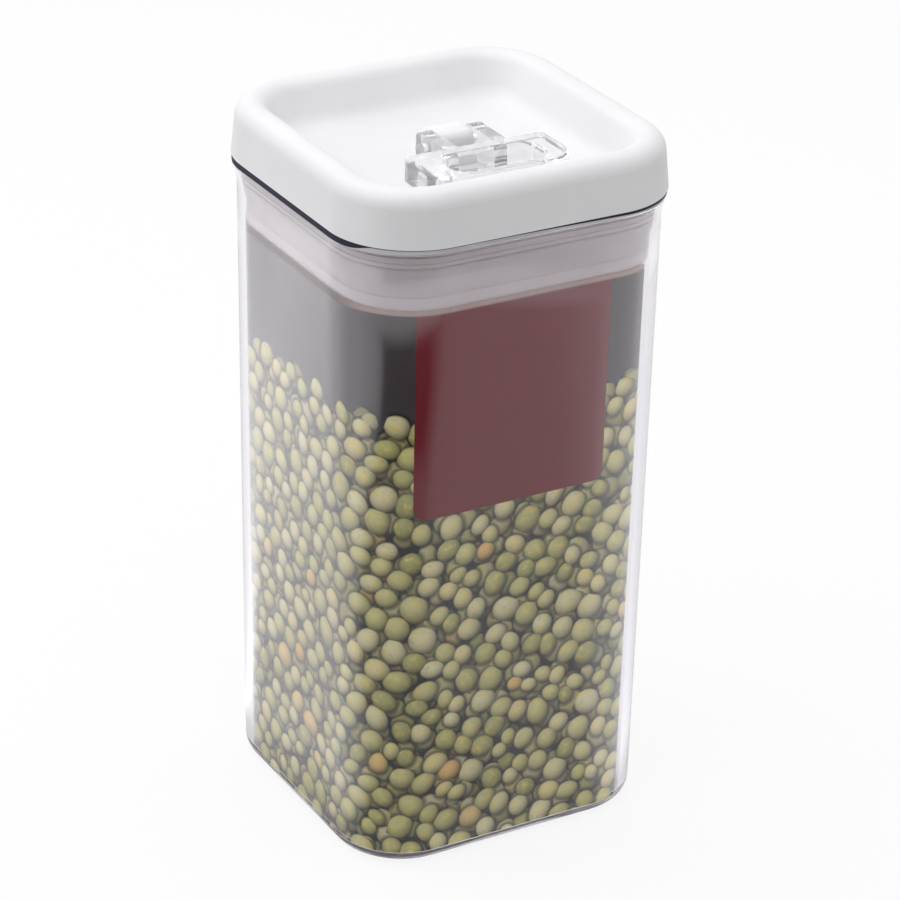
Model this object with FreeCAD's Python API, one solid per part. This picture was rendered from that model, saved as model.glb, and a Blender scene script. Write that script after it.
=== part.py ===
import FreeCAD, Part
import math
import os

from FreeCAD import Vector

# Square storage jar with a dished lid and a flip ring that squeezes the lid's seal.
# Millimetres. Z is up, the jar stands on z = 0, and the printed front faces -Y.

# Jar
foot_width = 91.2
wall_draft = 1.6
rim_flare = 1.2
foot_corner_radius = 20.2
jar_height = 182.7
jar_wall = 2.4
jar_floor = 3.0
flare_height = 4.2
foot_edge_radius = 5.0
floor_edge_radius = 1.5
flare_radius = 21.0
rim_edge_radius = 0.5
foot_recess = 0.8
foot_land = 9.0

# Printed card inside the jar
card_thickness = 0.5
card_gap = 0.5
card_wrap = 12.0
card_headroom = 0.9

# Lid cover
lid_overhang = 0.3
lid_height = 14.5
lid_wall = 2.2
skirt_draft = 1.46
crest_radius = 4.7
crest_width = 7.2
dish_rise = 2.3
dish_foot_radius = 7.0
dish_wall_angle = 62.0
dish_floor_angle = 5.0
collar_wall = 2.4
collar_depth = 2.2
stake_offset = 6.6
stake_boss_diameter = 7.0
stake_diameter = 3.0

# Rim seal between the lid and the jar
seal_band = 1.4
seal_leg = 0.9
seal_setback = 0.7
seal_land = 1.1

# Lid base that plugs the mouth
flange_thickness = 1.8
flange_gap = 0.25
neck_depth = 6.1
neck_wall = 2.2
neck_edge_radius = 0.8
neck_groove_depth = 0.7
neck_groove_height = 1.0
neck_groove_count = 2
base_web = 2.2
guide_boss_diameter = 17.0
plug_gap = 0.5

# Squeeze gasket
gasket_height = 8.0
gasket_thickness = 4.2
gasket_edge_radius = 1.4
gasket_gap = 0.35

# Pressure plate under the gasket
plate_height = 5.0
plate_web = 2.4
plate_edge_radius = 2.2
plate_lip_height = 2.4
plate_lip_wall = 2.0
plate_lip_gap = 0.4
plate_boss_diameter = 20.0
plate_boss_height = 6.0
plate_counterbore_diameter = 11.8
plate_counterbore_depth = 3.0
cap_thickness = 1.3

# Pull rod
post_width = 10.2
post_depth = 9.0
post_cap = 3.6
post_corner_radius = 2.6
shank_reach = 3.4
rod_diameter = 8.0
rod_travel = 1.6
rod_stop_gap = 0.3
guide_gap = 0.1
running_gap = 0.05

# Rod seal
rod_seal_section = 1.6
rod_seal_room = 0.1

# Plate screw
screw_diameter = 4.0
screw_length = 10.0
screw_head_diameter = 7.4
screw_head_height = 1.6
screw_socket_diameter = 2.6
screw_socket_depth = 1.0

# Flip ring and its pin
pivot_height = 5.0
pivot_offset = 2.0
pin_diameter = 2.5
ring_width = 42.0
ring_crest_gap = 8.0
ring_neck = 11.0
ring_rise = 3.9
ring_lift = 1.5
ring_corner_radius = 9.5
ring_shoulder_radius = 2.0
ring_edge_radius = 1.3
ring_hole_width = 27.0
ring_band = 4.0
ring_root = 5.5
leg_thickness = 3.8
leg_gap = 0.3
leg_end_radius = 2.0
cam_gap = 0.35

# One overrun serves all cuts
overrun = 1.0

# Counts and turns
SIDES = 4
RIGHT, BACK, LEFT, FRONT = range(SIDES)
QUARTER_TURN = 90.0
UP = Vector(0, 0, 1)
ORIGIN = Vector(0, 0, 0)

# Share of a side that its two rounded corners may take up
rounding_share = 0.99

# Corner arcs of the jar and the lid share their centres, this far from each centreline
core = foot_width / 2 - foot_corner_radius
shoulder_width = foot_width + 2 * wall_draft
rim_width = shoulder_width + 2 * rim_flare
lid_width = rim_width + 2 * lid_overhang
shoulder_z = jar_height - flare_height
skirt_z = jar_height + seal_band
crest_z = skirt_z + lid_height
dish_z = skirt_z + dish_rise
flange_z = jar_height + seal_leg
neck_z = flange_z - neck_depth
plate_top_z = neck_z - gasket_height
plate_z = plate_top_z - plate_height
plate_boss_z = plate_z + plate_boss_height
pivot_z = dish_z + pivot_height
shank_z = dish_z - shank_reach
guide_boss_z = shank_z - rod_travel - rod_stop_gap
rod_seal_z = (neck_z + guide_boss_z) / 2
ring_reach = lid_width / 2 - crest_width - ring_crest_gap - pivot_offset
ring_thickness = pivot_height + ring_rise - ring_lift
ring_hole_length = ring_reach - ring_band - ring_root - ring_neck


def wall_reach(z):
    """Distance of the jar's outer wall from the corner centres at a height."""
    foot_reach = foot_width / 2 - core
    lean = (shoulder_width - foot_width) / 2 / shoulder_z
    return foot_reach + lean * z


def bore_reach(z):
    """Distance of the jar's inner wall from the corner centres at a height."""
    return wall_reach(z) - jar_wall


plug_reach = bore_reach(plate_z) - plug_gap
gasket_reach = bore_reach(plate_top_z) - gasket_gap
flange_reach = lid_width / 2 - core - lid_wall - flange_gap


def outline(corners, place):
    """Closed face through (across, up, radius) corners, each rounded by its radius as far as its sides allow."""
    points = [Vector(across, up, 0) for across, up, radius in corners]
    count = len(points)
    backs = [(points[i - 1] - points[i]).normalize() for i in range(count)]
    aheads = [(points[(i + 1) % count] - points[i]).normalize() for i in range(count)]
    half_angles = [back.getAngle(ahead) / 2 for back, ahead in zip(backs, aheads)]
    runs = [corner[2] / math.tan(half) for corner, half in zip(corners, half_angles)]
    edges = []
    start = end = None
    for i in range(count):
        room_share = 1
        for j in (i - 1, (i + 1) % count):
            if runs[i] > 0:
                side = (points[j] - points[i]).Length
                room_share = min(room_share, rounding_share * side / (runs[i] + runs[j]))
        back, ahead, half_angle = backs[i], aheads[i], half_angles[i]
        radius = corners[i][2] * room_share
        run = runs[i] * room_share
        entry = points[i] + back * run
        leave = points[i] + ahead * run
        if end is not None:
            edges.append(Part.makeLine(place(end), place(entry)))
        else:
            start = entry
        if radius > 0:
            bisector = (back + ahead).normalize()
            middle = points[i] + bisector * (radius / math.sin(half_angle) - radius)
            edges.append(Part.Arc(place(entry), place(middle), place(leave)).toShape())
        end = leave
    edges.append(Part.makeLine(place(end), place(start)))
    return Part.Face(Part.Wire(edges))


def upright(point):
    """Stand a drawn point up in the XZ plane."""
    return Vector(point.x, 0, point.y)


def sideways(point):
    """Stand a drawn point up in the YZ plane."""
    return Vector(0, point.x, point.y)


def level(point):
    """Leave a drawn point flat in the XY plane."""
    return Vector(point.x, point.y, 0)


def wall_pieces(section, sides, corners):
    """Sweep an upright section along chosen sides and round chosen corners of the square."""
    pieces = []
    for side in sides:
        run = section.copy()
        run.translate(Vector(core, -core, 0))
        run = run.extrude(Vector(0, 2 * core, 0))
        run.rotate(ORIGIN, UP, QUARTER_TURN * side)
        pieces.append(run)
    for side, first, sweep in corners:
        turn = section.copy()
        turn.rotate(ORIGIN, UP, first)
        turn.translate(Vector(core, core, 0))
        turn = turn.revolve(Vector(core, core, 0), UP, sweep)
        turn.rotate(ORIGIN, UP, QUARTER_TURN * side)
        pieces.append(turn)
    return pieces


def joined(pieces):
    """Fuse pieces into one clean solid."""
    return pieces[0].multiFuse(pieces[1:]).removeSplitter()


def rounded_square(corners, middle=None):
    """Solid with one wall section all round, and a middle slab between two heights if it has one."""
    section = outline(corners, upright)
    pieces = wall_pieces(section, range(SIDES), [(side, 0, QUARTER_TURN) for side in range(SIDES)])
    if middle:
        low, high = middle
        pieces.append(Part.makeBox(2 * core, 2 * core, high - low, Vector(-core, -core, low)))
    return joined(pieces)


def block(width, depth, low, high):
    """Box centred on the lid's axis."""
    return Part.makeBox(width, depth, high - low, Vector(-width / 2, -depth / 2, low))


def round_bar(diameter, low, high, x=0, y=0):
    """Upright round bar."""
    return Part.makeCylinder(diameter / 2, high - low, Vector(x, y, low))


def cross_bar(diameter, length):
    """Round bar along the ring's pivot."""
    centre = Vector(-length / 2, -pivot_offset, pivot_z)
    return Part.makeCylinder(diameter / 2, length, centre, Vector(1, 0, 0))


def stake_places():
    """Where the cover is staked to the base."""
    reach = core + stake_offset
    return [(x, y) for x in (-reach, reach) for y in (-reach, reach)]


def container_body():
    """Clear drafted jar with a flared rim and a recessed foot."""
    foot_reach = wall_reach(0)
    rim_reach = rim_width / 2 - core
    land_reach = foot_reach - foot_land
    return rounded_square(
        [
            (0, foot_recess, 0),
            (land_reach, foot_recess, 0),
            (land_reach, 0, 0),
            (foot_reach, 0, foot_edge_radius),
            (wall_reach(shoulder_z), shoulder_z, flare_radius),
            (rim_reach, jar_height, rim_edge_radius),
            (bore_reach(jar_height), jar_height, rim_edge_radius),
            (bore_reach(jar_floor), jar_floor, floor_edge_radius),
            (0, jar_floor, 0),
        ],
        (foot_recess, jar_floor),
    )


def label_card():
    """Printed card that lines the left and front walls and turns a little into the next corners."""
    low = jar_floor + card_gap
    high = plate_z - rod_travel - card_headroom
    outer_low = bore_reach(low) - card_gap
    outer_high = bore_reach(high) - card_gap
    section = outline(
        [
            (outer_low - card_thickness, low, 0),
            (outer_low, low, 0),
            (outer_high, high, 0),
            (outer_high - card_thickness, high, 0),
        ],
        upright,
    )
    wrap = math.degrees(card_wrap / outer_high)
    corners = [(BACK, QUARTER_TURN - wrap, wrap), (LEFT, 0, QUARTER_TURN), (FRONT, 0, wrap)]
    return joined(wall_pieces(section, (LEFT, FRONT), corners))


def cover_line(depth):
    """Corners of the cover's section from the skirt to the middle of the dish, at a depth inside it."""
    draft = math.atan2(skirt_draft, lid_height)
    slope = math.radians(dish_wall_angle)
    fall = math.radians(dish_floor_angle)
    top = crest_z - depth
    skirt_reach = lid_width / 2 - core - depth / math.cos(draft)
    side = skirt_reach - (top - skirt_z) * math.tan(draft)
    slope_top = lid_width / 2 - core - skirt_draft - crest_width + depth / math.sin(slope)
    brink = slope_top + (top - crest_z) / math.tan(slope)
    centre = dish_z - depth / math.cos(fall)
    foot = (slope_top + (centre - crest_z) / math.tan(slope)) / (1 - math.tan(fall) / math.tan(slope))
    return [
        (skirt_reach, skirt_z, 0),
        (side, top, crest_radius - depth),
        (brink, top, crest_radius - depth),
        (foot, centre + foot * math.tan(fall), dish_foot_radius + depth),
        (0, centre, 0),
    ]


def lid_cover():
    """White dished cover with a guide collar for the post and four staking bosses."""
    outside = cover_line(0)
    inside = cover_line(lid_wall)
    floor_z = inside[-1][1]
    shell = rounded_square(outside + inside[::-1], (floor_z, dish_z))
    collar_width = post_width + 2 * collar_wall
    collar_length = post_depth + 2 * collar_wall
    pieces = [shell, block(collar_width, collar_length, floor_z - collar_depth, dish_z)]
    for x, y in stake_places():
        pieces.append(round_bar(stake_boss_diameter, neck_z + base_web, floor_z + lid_wall / 2, x, y))
        pieces.append(round_bar(stake_diameter, neck_z, neck_z + base_web, x, y))
    post_hole = block(post_width + 2 * guide_gap, post_depth + 2 * guide_gap,
                      floor_z - collar_depth - overrun, dish_z + overrun)
    return joined(pieces).cut(post_hole).removeSplitter()


def lid_base():
    """White tub that plugs the mouth, with grooves round its neck and a guide boss for the rod."""
    top = flange_z + flange_thickness
    groove_step = neck_depth / (neck_groove_count + 1)
    neck = [(0, neck_z, 0), (plug_reach, neck_z, neck_edge_radius)]
    for i in range(neck_groove_count):
        middle = neck_z + groove_step * (i + 1)
        low = middle - neck_groove_height / 2
        high = middle + neck_groove_height / 2
        neck.append((plug_reach, low, 0))
        neck.append((plug_reach - neck_groove_depth, low, 0))
        neck.append((plug_reach - neck_groove_depth, high, 0))
        neck.append((plug_reach, high, 0))
    tub = rounded_square(
        neck + [
            (plug_reach, flange_z, 0),
            (flange_reach, flange_z, 0),
            (flange_reach, top, 0),
            (plug_reach - neck_wall, top, 0),
            (plug_reach - neck_wall, neck_z + base_web, neck_edge_radius),
            (0, neck_z + base_web, 0),
        ],
        (neck_z, neck_z + base_web),
    )
    tub = joined([tub, round_bar(guide_boss_diameter, neck_z, guide_boss_z)])
    room = rod_seal_section + 2 * rod_seal_room
    cuts = [
        round_bar(rod_diameter + 2 * running_gap, neck_z - overrun, guide_boss_z + overrun),
        round_bar(rod_diameter + 2 * room, rod_seal_z - room / 2, rod_seal_z + room / 2),
    ]
    for x, y in stake_places():
        cuts.append(round_bar(stake_diameter + 2 * running_gap, neck_z - overrun,
                              neck_z + base_web + overrun, x, y))
    for cut in cuts:
        tub = tub.cut(cut)
    return tub.removeSplitter()


def rim_seal():
    """Dark seal ring that fills the line between the lid's skirt and the jar's rim."""
    outer = lid_width / 2 - core - seal_setback
    return rounded_square(
        [
            (plug_reach + seal_land, jar_height, 0),
            (outer, jar_height, 0),
            (outer, skirt_z, 0),
            (flange_reach + flange_gap, skirt_z, 0),
            (flange_reach + flange_gap, flange_z, 0),
            (plug_reach + seal_land, flange_z, 0),
        ]
    )


def seal_gasket():
    """Soft band that swells against the jar when the plate is pulled up."""
    inner = gasket_reach - gasket_thickness
    return rounded_square(
        [
            (inner, plate_top_z, 0),
            (gasket_reach, plate_top_z, gasket_edge_radius),
            (gasket_reach, neck_z, gasket_edge_radius),
            (inner, neck_z, 0),
        ]
    )


def pressure_plate():
    """Tray under the gasket, with a lip inside it and a boss that the rod stands on."""
    lip_reach = gasket_reach - gasket_thickness - plate_lip_gap
    lip_top = plate_top_z + plate_lip_height
    tray = rounded_square(
        [
            (0, plate_z, 0),
            (plug_reach, plate_z, plate_edge_radius),
            (plug_reach, plate_top_z, 0),
            (lip_reach, plate_top_z, 0),
            (lip_reach, lip_top, 0),
            (lip_reach - plate_lip_wall, lip_top, 0),
            (lip_reach - plate_lip_wall, plate_z + plate_web, 0),
            (0, plate_z + plate_web, 0),
        ],
        (plate_z, plate_z + plate_web),
    )
    tray = joined([tray, round_bar(plate_boss_diameter, plate_z, plate_boss_z)])
    tray = tray.cut(round_bar(plate_counterbore_diameter, plate_z - overrun, plate_z + plate_counterbore_depth))
    return tray.cut(round_bar(screw_diameter + 2 * running_gap, plate_z, plate_boss_z + overrun)).removeSplitter()


def plate_cap():
    """Disc that closes the screw's recess."""
    return round_bar(plate_counterbore_diameter - 2 * running_gap, plate_z, plate_z + cap_thickness)


def plate_screw():
    """Socket screw that holds the plate to the rod."""
    seat = plate_z + plate_counterbore_depth
    head = round_bar(screw_head_diameter, seat - screw_head_height, seat)
    screw = head.fuse(round_bar(screw_diameter, seat, seat + screw_length))
    socket_low = seat - screw_head_height
    socket = round_bar(screw_socket_diameter, socket_low - overrun, socket_low + screw_socket_depth)
    return screw.cut(socket).removeSplitter()


def pull_rod():
    """Post that carries the ring's pin, with a round rod below it down to the plate."""
    half = post_depth / 2
    top = pivot_z + post_cap
    profile = outline(
        [
            (-half, shank_z, 0),
            (half, shank_z, 0),
            (half, top, post_corner_radius),
            (-half, top, post_corner_radius),
        ],
        sideways,
    )
    profile.translate(Vector(-post_width / 2, 0, 0))
    post = profile.extrude(Vector(post_width, 0, 0))
    rod = joined([post, round_bar(rod_diameter, plate_boss_z, shank_z)])
    rod = rod.cut(cross_bar(pin_diameter + 2 * running_gap, post_width + 2 * overrun))
    screw_end = plate_z + plate_counterbore_depth + screw_length
    thread = round_bar(screw_diameter + 2 * running_gap, plate_boss_z - overrun, screw_end + running_gap)
    return rod.cut(thread).removeSplitter()


def rod_seal():
    """Soft ring in the guide boss that keeps air out along the rod."""
    ring_radius = rod_diameter / 2 + rod_seal_room + rod_seal_section / 2
    return Part.makeTorus(ring_radius, rod_seal_section / 2, Vector(0, 0, rod_seal_z))


def pivot_pin():
    """Steel pin through the post and both legs of the ring."""
    return cross_bar(pin_diameter, post_width + 2 * (leg_gap + leg_thickness))


def ring_leg():
    """One leg of the ring, drawn from the pin, with a cam under the pin that rides on the dish."""
    heel = pivot_height - cam_gap
    toe = heel - rod_travel
    half_way = (heel + toe) / 2
    low = ring_rise - ring_thickness
    root = -ring_neck - ring_edge_radius - leg_end_radius
    heel_point = Vector(0, -heel, 0)
    back_point = Vector(low, -heel, 0)
    step_point = Vector(-heel - leg_end_radius, low, 0)
    middle_point = Vector(half_way * math.sin(math.pi / 4), -half_way * math.cos(math.pi / 4), 0)
    toe_point = Vector(toe, 0, 0)
    rise_point = Vector(toe, ring_rise - leg_end_radius, 0)
    turn_share = 1 - math.cos(math.pi / 4)
    bend_point = Vector(toe - leg_end_radius * turn_share, ring_rise - leg_end_radius * turn_share, 0)
    top_point = Vector(toe - leg_end_radius, ring_rise, 0)
    edges = [
        Part.Arc(sideways(heel_point), sideways(middle_point), sideways(toe_point)).toShape(),
        Part.makeLine(sideways(toe_point), sideways(rise_point)),
        Part.Arc(sideways(rise_point), sideways(bend_point), sideways(top_point)).toShape(),
    ]
    path = [top_point, Vector(root, ring_rise, 0), Vector(root, low, 0), step_point, back_point, heel_point]
    for here, there in zip(path, path[1:]):
        edges.append(Part.makeLine(sideways(here), sideways(there)))
    leg = Part.Face(Part.Wire(edges)).extrude(Vector(leg_thickness, 0, 0))
    leg.translate(Vector(post_width / 2 + leg_gap, -pivot_offset, pivot_z))
    return leg


def flip_ring():
    """Clear finger ring with two cam legs, lying flat towards the front."""
    half = ring_width / 2
    hole_half = ring_hole_width / 2
    hole_near = -ring_reach + ring_band
    hole_far = hole_near + ring_hole_length
    hole_round = ring_hole_length / 2 - ring_edge_radius
    plate = outline(
        [
            (-half, -ring_reach, ring_corner_radius),
            (half, -ring_reach, ring_corner_radius),
            (half, -ring_neck, ring_shoulder_radius),
            (-half, -ring_neck, ring_shoulder_radius),
        ],
        level,
    ).extrude(Vector(0, 0, ring_thickness))
    hole = outline(
        [
            (-hole_half, hole_near, hole_round),
            (hole_half, hole_near, hole_round),
            (hole_half, hole_far, hole_round),
            (-hole_half, hole_far, hole_round),
        ],
        level,
    ).extrude(Vector(0, 0, ring_thickness))
    plate = plate.cut(hole)
    level_edges = [edge for edge in plate.Edges if edge.BoundBox.ZLength < ring_edge_radius / 2]
    plate = plate.makeFillet(ring_edge_radius, level_edges)
    plate.translate(Vector(0, -pivot_offset, pivot_z + ring_rise - ring_thickness))
    right_leg = ring_leg()
    left_leg = right_leg.mirror(ORIGIN, Vector(1, 0, 0))
    ring = joined([plate, right_leg, left_leg])
    bore_length = post_width + 2 * (leg_gap + leg_thickness + overrun)
    return ring.cut(cross_bar(pin_diameter + 2 * running_gap, bore_length)).removeSplitter()


def main():
    """Build every piece and write it to its own file."""
    os.makedirs("parts", exist_ok=True)
    makers = (
        container_body,
        label_card,
        lid_cover,
        lid_base,
        rim_seal,
        seal_gasket,
        pressure_plate,
        plate_cap,
        plate_screw,
        pull_rod,
        rod_seal,
        pivot_pin,
        flip_ring,
    )
    for maker in makers:
        shape = maker()
        shape.exportStep(os.path.join("parts", maker.__name__ + ".step"))
        print(maker.__name__, len(shape.Solids), shape.isValid(), round(shape.Volume))
    print("heights: rim", jar_height, "skirt", skirt_z, "crest", crest_z, "dish", dish_z, "plate", plate_z)


main()
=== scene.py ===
"""Looks for a square storage canister with a flip-ring lid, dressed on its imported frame.

Everything is in metres. The canister stands on z = 0 and its printed front faces -Y.
"""

import logging
import math
from collections.abc import Callable, Sequence
from dataclasses import dataclass, field
from enum import Enum

import bpy
from mathutils import Matrix, Vector


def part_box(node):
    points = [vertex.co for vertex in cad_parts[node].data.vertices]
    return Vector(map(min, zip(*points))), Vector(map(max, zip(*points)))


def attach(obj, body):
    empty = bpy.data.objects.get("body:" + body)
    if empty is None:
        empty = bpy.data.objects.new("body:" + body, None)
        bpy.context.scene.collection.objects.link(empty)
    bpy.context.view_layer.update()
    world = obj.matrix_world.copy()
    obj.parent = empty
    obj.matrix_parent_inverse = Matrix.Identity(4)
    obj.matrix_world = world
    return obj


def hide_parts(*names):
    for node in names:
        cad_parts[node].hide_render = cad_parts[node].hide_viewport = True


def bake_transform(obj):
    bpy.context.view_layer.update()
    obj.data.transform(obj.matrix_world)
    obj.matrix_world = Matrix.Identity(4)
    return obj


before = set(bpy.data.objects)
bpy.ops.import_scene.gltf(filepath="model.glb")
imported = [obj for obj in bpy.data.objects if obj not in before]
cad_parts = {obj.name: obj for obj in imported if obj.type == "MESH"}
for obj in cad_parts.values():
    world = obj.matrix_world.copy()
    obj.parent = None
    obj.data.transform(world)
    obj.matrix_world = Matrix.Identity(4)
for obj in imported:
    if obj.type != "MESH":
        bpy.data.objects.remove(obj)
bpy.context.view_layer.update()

log = logging.getLogger("canister")

Point = tuple[float, float]
Colour = tuple[float, float, float]
Feed = bpy.types.NodeSocket | float | Sequence[float]

QUARTER_TURN = math.pi / 2
FULL_TURN = 2 * math.pi
DOWN = (0.0, 0.0, -1.0)    # the spin operator turns clockwise about its axis
ORIGIN = (0.0, 0.0, 0.0)
ONES = (1.0, 1.0, 1.0)
HALF = 0.5
HALVES = (HALF, HALF, HALF)
WHITE: Colour = (1.0, 1.0, 1.0)
BLACK: Colour = (0.0, 0.0, 0.0)
NOISE_RANGE: Point = (0.3, 0.7)    # what most of a noise node's values lie between
CORNER_CORE = 0.0254               # distance of the corners' centre lines from each centreline


class Ray(Enum):
    """Kinds of ray that a studio surface can answer in its own way."""

    CAMERA = "Is Camera Ray"
    GLOSSY = "Is Glossy Ray"
    TRANSMISSION = "Is Transmission Ray"
    SHADOW = "Is Shadow Ray"


@dataclass
class Graph:
    """A hand that places and joins the nodes of one shader tree."""

    tree: bpy.types.NodeTree

    def add(
        self, kind: str, feeds: dict[str | int, Feed] | None = None, **options: object,
    ) -> bpy.types.Node:
        """Add a node, set its options and fill its sockets.

        Args:
            kind: Blender's type name for the node.
            feeds: Values or sockets for the inputs, by name or number.
            options: Properties of the node.

        Returns:
            The new node.
        """
        node = self.tree.nodes.new(kind)
        for name, value in options.items():
            setattr(node, name, value)
        for name, value in (feeds or {}).items():
            self.fill(node.inputs[name], value)
        return node

    def fill(self, socket: bpy.types.NodeSocket, value: Feed) -> None:
        """Join a socket to another, or set its own value.

        Args:
            socket: Input to fill.
            value: Socket to join it to, or a constant.
        """
        if isinstance(value, bpy.types.NodeSocket):
            self.tree.links.new(value, socket)
        elif socket.type == "RGBA" and len(value) == 3:
            socket.default_value = (*value, 1.0)
        else:
            socket.default_value = value

    def calc(
        self, operation: str, first: Feed, second: Feed = 0.0, third: Feed = 0.0,
    ) -> bpy.types.NodeSocket:
        """Work out one value from up to three others, by a Math node's operation."""
        node = self.add("ShaderNodeMath", {0: first, 1: second, 2: third}, operation=operation)
        return node.outputs[0]

    def vector(self, operation: str, first: Feed, second: Feed = ORIGIN) -> bpy.types.NodeSocket:
        """Work out a vector from one or two others, by a Vector Math node's operation."""
        node = self.add("ShaderNodeVectorMath", {0: first, 1: second}, operation=operation)
        return node.outputs["Vector"]

    def measure(self, operation: str, first: Feed, second: Feed = ORIGIN) -> bpy.types.NodeSocket:
        """Work out one value from one or two vectors, by a Vector Math node's operation."""
        node = self.add("ShaderNodeVectorMath", {0: first, 1: second}, operation=operation)
        return node.outputs["Value"]

    def part(self, vector: Feed, axis: str) -> bpy.types.NodeSocket:
        """Take one part of a vector, named X, Y or Z."""
        return self.add("ShaderNodeSeparateXYZ", {"Vector": vector}).outputs[axis]

    def scaled(self, vector: Feed, factor: Feed) -> bpy.types.NodeSocket:
        """Multiply a vector by one number."""
        node = self.add("ShaderNodeVectorMath", {0: vector, "Scale": factor}, operation="SCALE")
        return node.outputs["Vector"]

    def turned(self, vector: Feed, angle: Feed) -> bpy.types.NodeSocket:
        """Turn a flat vector in its plane, anticlockwise by an angle."""
        node = self.add(
            "ShaderNodeVectorRotate", {"Vector": vector, "Angle": angle}, rotation_type="Z_AXIS",
        )
        return node.outputs["Vector"]

    def grey(self, value: Feed) -> bpy.types.NodeSocket:
        """Make one value into a grey of that level."""
        return self.add("ShaderNodeCombineXYZ", {0: value, 1: value, 2: value}).outputs["Vector"]

    def remap(self, value: Feed, source: Point, target: Point = (0.0, 1.0)) -> bpy.types.NodeSocket:
        """Turn one range of values smoothly into another, and hold it at the ends.

        Args:
            value: Value to turn.
            source: Range that it comes from.
            target: Range that it goes to.

        Returns:
            The result's socket.
        """
        node = self.add(
            "ShaderNodeMapRange",
            {"Value": value, "From Min": source[0], "From Max": source[1],
             "To Min": target[0], "To Max": target[1]},
            interpolation_type="SMOOTHSTEP",
        )
        return node.outputs["Result"]

    def mixed(self, share: Feed, low: Feed, high: Feed) -> bpy.types.NodeSocket:
        """Mix two colours.

        Args:
            share: How much of the second colour there is.
            low: First colour.
            high: Second colour.

        Returns:
            The mixed colour's socket.
        """
        node = self.add("ShaderNodeMix", data_type="RGBA", blend_type="MIX", clamp_factor=True)
        for name, value in (("Factor_Float", share), ("A_Color", low), ("B_Color", high)):
            self.fill(next(s for s in node.inputs if s.identifier == name), value)
        return next(s for s in node.outputs if s.identifier == "Result_Color")

    def noise(self, point: Feed, scale: Feed, detail: float = 2.0) -> bpy.types.Node:
        """Add a cloud of smooth noise, whose first output is a level and whose second is a colour."""
        return self.add("ShaderNodeTexNoise", {"Vector": point, "Scale": scale, "Detail": detail})

    def ramp(self, value: Feed, stops: Sequence[tuple[float, Colour]]) -> bpy.types.NodeSocket:
        """Turn a value into a colour along a row of stops.

        Args:
            value: Place along the row, from 0 to 1.
            stops: Places and colours.

        Returns:
            The colour's socket.
        """
        node = self.add("ShaderNodeValToRGB", {"Fac": value})
        places = node.color_ramp.elements
        while len(places) < len(stops):
            places.new(1.0)
        for place, (position, colour) in zip(places, stops):
            place.position = position
            place.color = (*colour, 1.0)
        return node.outputs["Color"]

    def any_ray(self, *rays: Ray) -> bpy.types.NodeSocket:
        """Say whether the ray at hand is one of some kinds.

        Args:
            rays: Kinds of ray.

        Returns:
            Socket that is 1 for those rays and 0 for the others.
        """
        path = self.add("ShaderNodeLightPath")
        found = path.outputs[rays[0].value]
        for ray in rays[1:]:
            found = self.calc("MAXIMUM", found, path.outputs[ray.value])
        return found


def new_material(name: str) -> tuple[bpy.types.Material, Graph]:
    """Start an empty node material.

    Args:
        name: Name of the finish.

    Returns:
        The material and a hand for its tree.
    """
    material = bpy.data.materials.new(name)
    material.use_nodes = True
    material.node_tree.nodes.clear()
    return material, Graph(material.node_tree)


def new_group(
    name: str, inputs: dict[str, str], outputs: dict[str, str],
) -> tuple[Graph, bpy.types.Node, bpy.types.Node]:
    """Start a shader node group with named sockets.

    Args:
        name: Name of the group.
        inputs: Kinds of its input sockets, by name.
        outputs: Kinds of its output sockets, by name.

    Returns:
        A hand for its tree, its input node and its output node.
    """
    tree = bpy.data.node_groups.new(name, "ShaderNodeTree")
    for sockets, side in ((inputs, "INPUT"), (outputs, "OUTPUT")):
        for socket, kind in sockets.items():
            tree.interface.new_socket(socket, in_out=side, socket_type=f"NodeSocket{kind}")
    graph = Graph(tree)
    return graph, graph.add("NodeGroupInput"), graph.add("NodeGroupOutput")


@dataclass(frozen=True)
class PeaLook:
    """How one printed pea looks, and how the peas of a layer lie."""

    shuffle: tuple[float, float, float] = (3.7, 1.9, 0.0)
    drift_scale: float = 0.36
    drift_detail: float = 1.0
    drift_reach: float = 0.62
    disorder: float = 0.46
    room_share: float = 0.90
    oval: tuple[float, float, float] = (0.91, 1.0, 0.0)
    light_across: float = -0.20
    light_up: float = 0.36
    light_crown: float = 0.78
    light_range: Point = (-0.28, 1.12)
    shade_range: Point = (0.10, 1.42)
    gleam_power: float = 8.0
    gleam_level: float = 0.12
    blotch_scale: float = 3.4
    blotch_detail: float = 5.0
    warm_colour: Colour = (0.92, 0.76, 0.20)
    warm_blotch: Point = (0.48, 0.70)
    warm_share: Point = (0.0, 0.75)
    cool_colour: Colour = (0.50, 0.54, 0.20)
    cool_blotch: Point = (0.45, 0.28)
    cool_share: Point = (0.0, 0.40)
    skins: tuple[tuple[float, Colour], ...] = (
        (0.00, (0.510, 0.505, 0.185)),
        (0.25, (0.690, 0.660, 0.275)),
        (0.60, (0.825, 0.765, 0.375)),
        (0.82, (0.900, 0.845, 0.520)),
        (0.96, (0.920, 0.780, 0.360)),
        (1.00, (0.960, 0.600, 0.220)),
    )


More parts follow.
